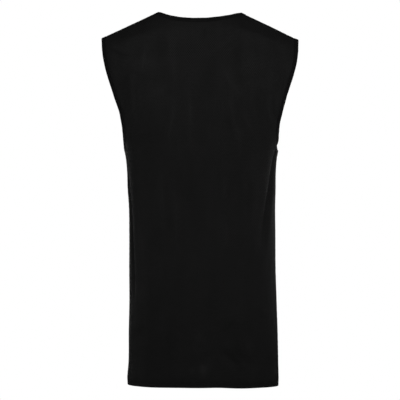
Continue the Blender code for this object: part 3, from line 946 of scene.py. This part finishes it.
def stitches(name, lines, material):
    """Short rounded threads laid along lines, each given as points and normals."""
    middle, along, up = (np.concatenate(part) for part in zip(*(stitch_places(*x) for x in lines)))
    beside = np.cross(along, up)
    angle = np.arange(STITCH_SIDES) * 2 * math.pi / STITCH_SIDES
    spoke = np.cos(angle)[:, None] * up[:, None] + np.sin(angle)[:, None] * beside[:, None]
    rings = []
    for place, girth, sink in STITCH_RINGS:
        centre = middle + 0.5 * place * STITCH_LENGTH * along + (STITCH_LIFT - sink) * up
        rings.append(centre[:, None] + girth * STITCH_RADIUS * spoke)
    points = np.stack(rings, axis=1)
    count, levels, sides = points.shape[:3]
    number = numbers((levels, sides))
    wall = quads(np.pad(number, ((0, 0), (0, 1)), mode="wrap"))
    one = np.concatenate([wall, *(number[k, caps] for k, caps in zip((0, -1), STITCH_CAPS))])
    faces = (one[None] + np.arange(count)[:, None, None] * levels * sides).reshape(-1, 4)
    u = np.broadcast_to(np.array(STITCH_RINGS)[:, :1] * 0.5 * STITCH_LENGTH, (levels, sides))
    v = np.broadcast_to(angle * STITCH_RADIUS, (levels, sides))
    uvs = np.tile(np.stack([u, v], axis=-1).reshape(-1, 2), (count, 1))
    return make_piece(name, points.reshape(-1, 3), faces, uvs[faces], material)


def opening_lines(loop, width, seed, tree):
    """The needle rows beside an opening: one on its binding and one on the panel cloth."""
    at = np.array([BAND_STITCH])
    on_band = loop.strip(width, seed, at, band_heights(at, width)[0])[:, 0]
    beside = loop.points - CLOTH_STITCH * loop.across
    nearest = (tree.find_nearest(point)[:2] for point in beside.tolist())
    places, normals = (np.array(part) for part in zip(*nearest))
    return [(closed(on_band), closed(loop.normals)),
            (closed(places), closed(facing(normals, loop.normals)))]


def allowance(name, distance, inner, normal, material):
    """A seam allowance lying on a panel's inner face: lines run from the seam into the panel."""
    start = inner[:, 0] - SEAM_COVER * unit(inner[:, 1] - inner[:, 0])
    share = np.linspace(0, 1, ALLOWANCE_COLUMNS)
    at = -SEAM_COVER + (ALLOWANCE + SEAM_COVER) * share
    run = np.insert(distance, 0, -SEAM_COVER, axis=1)
    lines = np.concatenate([np.insert(inner, 0, start, axis=1),
                            np.insert(normal, 0, normal[:, 0], axis=1)], axis=-1)
    read = np.array([read_line(at, *line) for line in zip(run, lines)])
    place, out = read[..., :3], unit(read[..., 3:])
    thick = ALLOWANCE_CLOTH * np.sqrt(1 - (2 * share - 1) ** ALLOWANCE_POWER)
    outer = place - ALLOWANCE_CLEAR * out
    lower = outer - np.maximum(thick, ALLOWANCE_CLEAR)[:, None] * out
    uvs = np.stack(np.meshgrid(at, run_length(place[:, 0])), axis=-1)
    return closed_sheet(name, outer, lower, uvs, material)


def cloth_tree(shells):
    """The outer faces of the panels, for finding the nearest point of cloth."""
    points, faces = [], []
    for shell in shells:
        faces += (quads(numbers(shell.outer.shape[:2])) + len(points)).tolist()
        points += shell.outer.reshape(-1, 3).tolist()
    return BVHTree.FromPolygons(points, faces)


class Nodes:
    """Short calls for building the node tree of a material or of the world."""

    def __init__(self, owner):
        owner.use_nodes = True
        self.owner, self.tree = owner, owner.node_tree

    def add(self, kind, inputs, output=0, **settings):
        node = self.tree.nodes.new(kind)
        for name, value in settings.items():
            setattr(node, name, value)
        for name, value in inputs.items():
            self.set(node, name, value)
        return node.outputs[output]

    def set(self, node, name, value):
        if isinstance(value, bpy.types.NodeSocket):
            self.tree.links.new(value, node.inputs[name])
        else:
            node.inputs[name].default_value = value

    def math(self, operation, a, b=0.0):
        return self.add("ShaderNodeMath", {0: a, 1: b}, operation=operation)

    def times(self, product, *factors):
        for factor in factors:
            product = self.math("MULTIPLY", product, factor)
        return product

    def cosine(self, value, wavelength):
        return self.math("COSINE", self.times(value, 2 * math.pi / wavelength))

    def ramp(self, value, low, high, to_low, to_high):
        inputs = dict(enumerate((value, low, high, to_low, to_high)))
        return self.add("ShaderNodeMapRange", inputs, interpolation_type="SMOOTHSTEP")

    def noise(self, vector, scale):
        return self.add("ShaderNodeTexNoise",
                        {"Vector": vector, "Scale": scale, "Detail": NOISE_DETAIL})

    def mottle(self, vector, scale, low, high):
        return self.ramp(self.noise(vector, scale), *NOISE_RANGE, low, high)

    def mix(self, share, a, b):
        return self.add("ShaderNodeMix", {0: share, 6: a, 7: b}, output=2, data_type="RGBA")

    def camera_ray(self):
        return self.add("ShaderNodeLightPath", {}, output="Is Camera Ray")

    def cloth_uv(self):
        vector = self.add("ShaderNodeUVMap", {}, uv_map=UV_NAME)
        split = self.add("ShaderNodeSeparateXYZ", {"Vector": vector}).node
        return vector, split.outputs["X"], split.outputs["Y"]

    def paint(self, **sockets):
        """Give the shader its values and links, and hand back the material."""
        for name, value in sockets.items():
            self.set(self.tree.nodes["Principled BSDF"], name.replace("_", " "), value)
        return self.owner

    def cloth(self, kind, colour, roughness, relief):
        """Finish a cloth with what the tables of the looks say of its kind."""
        bump = self.add("ShaderNodeBump", {"Height": relief, "Distance": RELIEF_DEPTHS[kind]})
        return self.paint(Base_Color=colour, Roughness=roughness, Normal=bump,
                          Specular_IOR_Level=GLOSS[kind])


def knit_material():
    """Eyelet mesh: staggered small holes between columns of fine loops."""
    nodes = Nodes(bpy.data.materials.new("mesh_knit"))
    vector, u, v = nodes.cloth_uv()
    net = nodes.times(nodes.cosine(u, 2 * EYELET_COLUMN), nodes.cosine(v, 2 * EYELET_ROW))
    hole = nodes.ramp(net, *EYELET_EDGE, 0.0, 1.0)
    loops = nodes.times(nodes.cosine(u, LOOP_WIDTH), nodes.cosine(v, LOOP_HEIGHT))
    long = nodes.add("ShaderNodeMapping", {"Vector": vector, "Scale": (1.0, WALE_SHARE, 1.0)})
    painted_light, opened = (nodes.add("ShaderNodeAttribute", {}, output="Fac", attribute_name=tone)
                       for tone in (PAINTED_LIGHT, OPENED))
    # The tone carries the panel's painted highlight and shade: paler on ridges, darker in troughs
    # and over the hem.
    tone = nodes.times(nodes.mottle(vector, *KNIT_BROAD), nodes.mottle(vector, *KNIT_FINE),
                       nodes.mottle(long, *KNIT_WALES),
                       nodes.math("ADD", nodes.times(painted_light, PAINTED_LIGHT_TONE), 1.0))
    yarn = nodes.mix(tone, KNIT_DARK, KNIT_COLOUR)
    colour = nodes.mix(nodes.times(hole, opened), yarn, HOLE_COLOUR)
    rough = nodes.times(nodes.noise(vector, KNIT_BROAD[0]), ROUGH_MOTTLE)
    roughness = nodes.ramp(nodes.math("ADD", hole, rough), 0.0, 1 + ROUGH_MOTTLE, *KNIT_ROUGHNESS)
    relief = nodes.math("SUBTRACT", nodes.times(loops, LOOP_RELIEF["knit"]), hole)
    return nodes.cloth("knit", colour, roughness, relief)


def rib_material():
    """Binding knit: fine ribs across the strip."""
    nodes = Nodes(bpy.data.materials.new("binding_knit"))
    vector, u, v = nodes.cloth_uv()
    rib = nodes.cosine(u, RIB_PITCH)
    # The ribs' crests are painted paler, a painted highlight on each rib.
    tone = nodes.math("ADD", nodes.mottle(vector, *RIB_BROAD), nodes.times(rib, RIB_PAINTED_HIGHLIGHT))
    colour = nodes.mix(tone, RIB_DARK, RIB_COLOUR)
    roughness = nodes.mottle(vector, RIB_BROAD[0], *RIB_ROUGHNESS)
    loops = nodes.times(nodes.cosine(v, LOOP_HEIGHT), LOOP_RELIEF["rib"])
    return nodes.cloth("rib", colour, roughness, nodes.math("ADD", rib, loops))


def thread_material():
    """Sewing thread: two twisted plies with a slight gloss."""
    nodes = Nodes(bpy.data.materials.new("thread"))
    vector, u, v = nodes.cloth_uv()
    ply = nodes.cosine(nodes.math("ADD", u, v), THREAD_TWIST)
    colour = nodes.mix(nodes.mottle(vector, *THREAD_BROAD), RIB_DARK, THREAD_COLOUR)
    return nodes.cloth("thread", colour, nodes.ramp(ply, -1.0, 1.0, *THREAD_ROUGHNESS), ply)


def area_light(name, place, aim, size, power):
    data = bpy.data.lights.new(name, "AREA")
    data.shape = "RECTANGLE"
    data.size = data.size_y = size
    data.energy = power
    light = add_object(name, data)
    light.location = place
    beam = Vector((0, 0, aim)) - Vector(place)
    light.rotation_euler = beam.to_track_quat("-Z", "Y").to_euler()


def studio():
    """Camera, white surroundings, soft lights and a plain pale floor."""
    scene = bpy.context.scene
    data = bpy.data.cameras.new("camera")
    data.sensor_width = SENSOR_MM
    data.lens = SENSOR_MM * CAMERA_DISTANCE / FRAME_SIDE
    scene.camera = add_object("camera", data)
    scene.camera.location = (0, CAMERA_DISTANCE, CAMERA_HEIGHT)
    scene.camera.rotation_euler = (0.5 * math.pi, 0, math.pi)
    scene.view_settings.view_transform = "Standard"

    scene.world = bpy.data.worlds.new("studio")
    world = Nodes(scene.world)
    world.tree.nodes.clear()
    lighting, seen = (world.add("ShaderNodeBackground", {"Color": WHITE, "Strength": strength})
                      for strength in (WORLD_LIGHT, 1.0))
    surface = world.add("ShaderNodeMixShader", {0: world.camera_ray(), 1: lighting, 2: seen})
    world.set(world.tree.nodes.new("ShaderNodeOutputWorld"), "Surface", surface)

    for light in LIGHTS:
        area_light(*light)

    bpy.ops.mesh.primitive_circle_add(vertices=FLOOR_SIDES, radius=FLOOR_RADIUS,
                                      fill_type="NGON", location=(0, 0, FLOOR_Z))
    floor = bpy.context.object
    floor.name = "floor"
    pale = Nodes(bpy.data.materials.new("floor"))
    floor.data.materials.append(pale.paint(
        Base_Color=FLOOR_COLOUR, Roughness=FLOOR_ROUGHNESS, Emission_Color=WHITE,
        Emission_Strength=pale.times(pale.camera_ray(), FLOOR_GLOW)))


studio()

mesh_knit, binding_knit, sewing_thread = knit_material(), rib_material(), thread_material()
shells = back, front = Shell("back"), Shell("front")
tree = cloth_tree(shells)
back_cloth = panel_piece("back_cloth", back, mesh_knit)
front_cloth = panel_piece("front_cloth", front, mesh_knit)

ribs, seams = {}, {}
for opening, width, seed in OPENINGS:
    loop = SeamLoop(shells, opening)
    ribs[opening] = binding(f"{opening}_rib", loop, width, seed, binding_knit)
    seams[opening] = stitches(f"{opening}_stitches", opening_lines(loop, width, seed, tree),
                              sewing_thread)

hem_threads = {
    shell.panel: stitches(f"{shell.panel}_hem_stitches",
                          [shell.row_at(shell.from_hem, at) for at in HEM_ROWS], sewing_thread)
    for shell in shells}
sides = {"left": np.flatnonzero(back.u > NECK_SHARE),
         "right": np.flatnonzero(back.u < -NECK_SHARE)}
shoulder_threads = stitches("shoulder_stitches", [
    back.row_at(back.from_top, at, columns) for columns in sides.values() for at in SHOULDER_ROWS],
    sewing_thread)

low = slice(0, back.low_count)
for side, columns in sides.items():
    inwards = slice(None, None, -1 if side == "left" else 1)
    below = [grid[low, inwards] for grid in (back.from_side, back.inner, back.normal)]
    above = [np.swapaxes(grid[::-1, columns], 0, 1)
             for grid in (back.from_top, back.inner, back.normal)]
    for seam, grids in (("side", below), ("shoulder", above)):
        allowance(f"{side}_{seam}_allowance",
                                    *(grid[:, :ALLOWANCE_LINES] for grid in grids), mesh_knit)

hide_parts("back_panel")
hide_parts("front_panel")
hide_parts("neck_binding")
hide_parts("armhole_binding_left")
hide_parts("armhole_binding_right")
